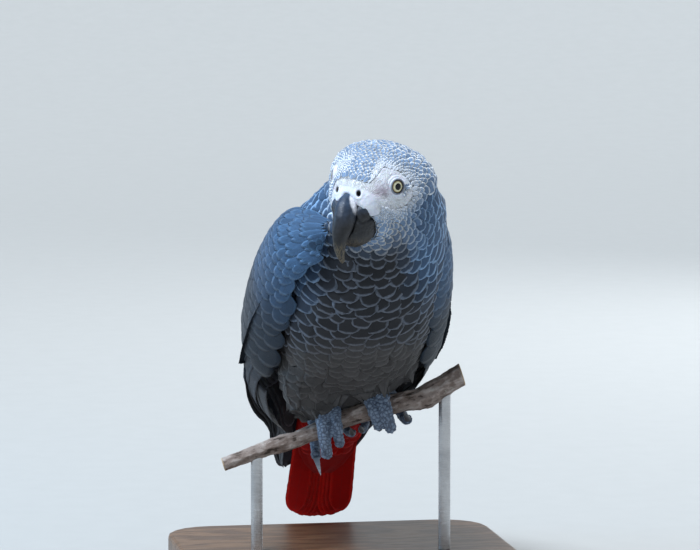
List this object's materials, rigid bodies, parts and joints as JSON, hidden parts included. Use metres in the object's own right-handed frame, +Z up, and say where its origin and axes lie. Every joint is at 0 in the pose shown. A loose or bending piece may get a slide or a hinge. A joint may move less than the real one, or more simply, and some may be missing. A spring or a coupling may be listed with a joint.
{
  "type": "grey parrot",
  "caption": "Life-size still model of an African grey parrot gripping a cut perch, head turned to its right, on a plain display stand.",
  "frame": {"origin": "centre of the stand base's underside, on the floor", "axes": "+Z up; the parrot's body faces -Y, and +X is to its left"},
  "size_m": [0.168, 0.2307, 0.2227],
  "materials": {
    "feathers_grey": "matte, ash grey feathers with dark middles and pale thin edges",
    "feathers_pale": "matte, pale face and small scalloped head feathers",
    "feathers_dark": "satin, charcoal flight feathers",
    "feathers_red": "satin, scarlet tail feathers",
    "bill_horn": "semi-gloss black horn with a worn, dusty tip",
    "claw_horn": "semi-gloss dark grey horn",
    "scaly_skin": "satin blue-grey scales",
    "eye": "wet gloss, pale yellow iris round a black pupil",
    "bark": "rough grey-brown bark with knots",
    "base_wood": "satin dark stained wood",
    "steel_rod": "brushed steel"
  },
  "bodies": {
    "root": {"bill_lower": "bill_horn", "bill_upper": "bill_horn", "claw_left_1": "claw_horn", "claw_left_2": "claw_horn", "claw_left_3": "claw_horn", "claw_left_4": "claw_horn", "claw_right_1": "claw_horn", "claw_right_2": "claw_horn", "claw_right_3": "claw_horn", "claw_right_4": "claw_horn", "eye_left": "eye", "eye_right": "eye", "foot_left": "scaly_skin", "foot_right": "scaly_skin", "head": "feathers_pale", "neck": "feathers_grey", "perch": "bark", "shank_left": "scaly_skin", "shank_right": "scaly_skin", "stand_base": "base_wood", "stand_rod_left": "steel_rod", "stand_rod_right": "steel_rod", "tail": "feathers_red", "thigh_left": "feathers_grey", "thigh_right": "feathers_grey", "toe_left_1": "scaly_skin", "toe_left_2": "scaly_skin", "toe_left_3": "scaly_skin", "toe_left_4": "scaly_skin", "toe_right_1": "scaly_skin", "toe_right_2": "scaly_skin", "toe_right_3": "scaly_skin", "toe_right_4": "scaly_skin", "trunk": "feathers_grey", "undertail_coverts": "feathers_red", "wing_left_coverts": "feathers_grey", "wing_left_primaries": "feathers_dark", "wing_left_secondaries": "feathers_grey", "wing_right_coverts": "feathers_grey", "wing_right_primaries": "feathers_dark", "wing_right_secondaries": "feathers_grey"}
  },
  "joints": []
}
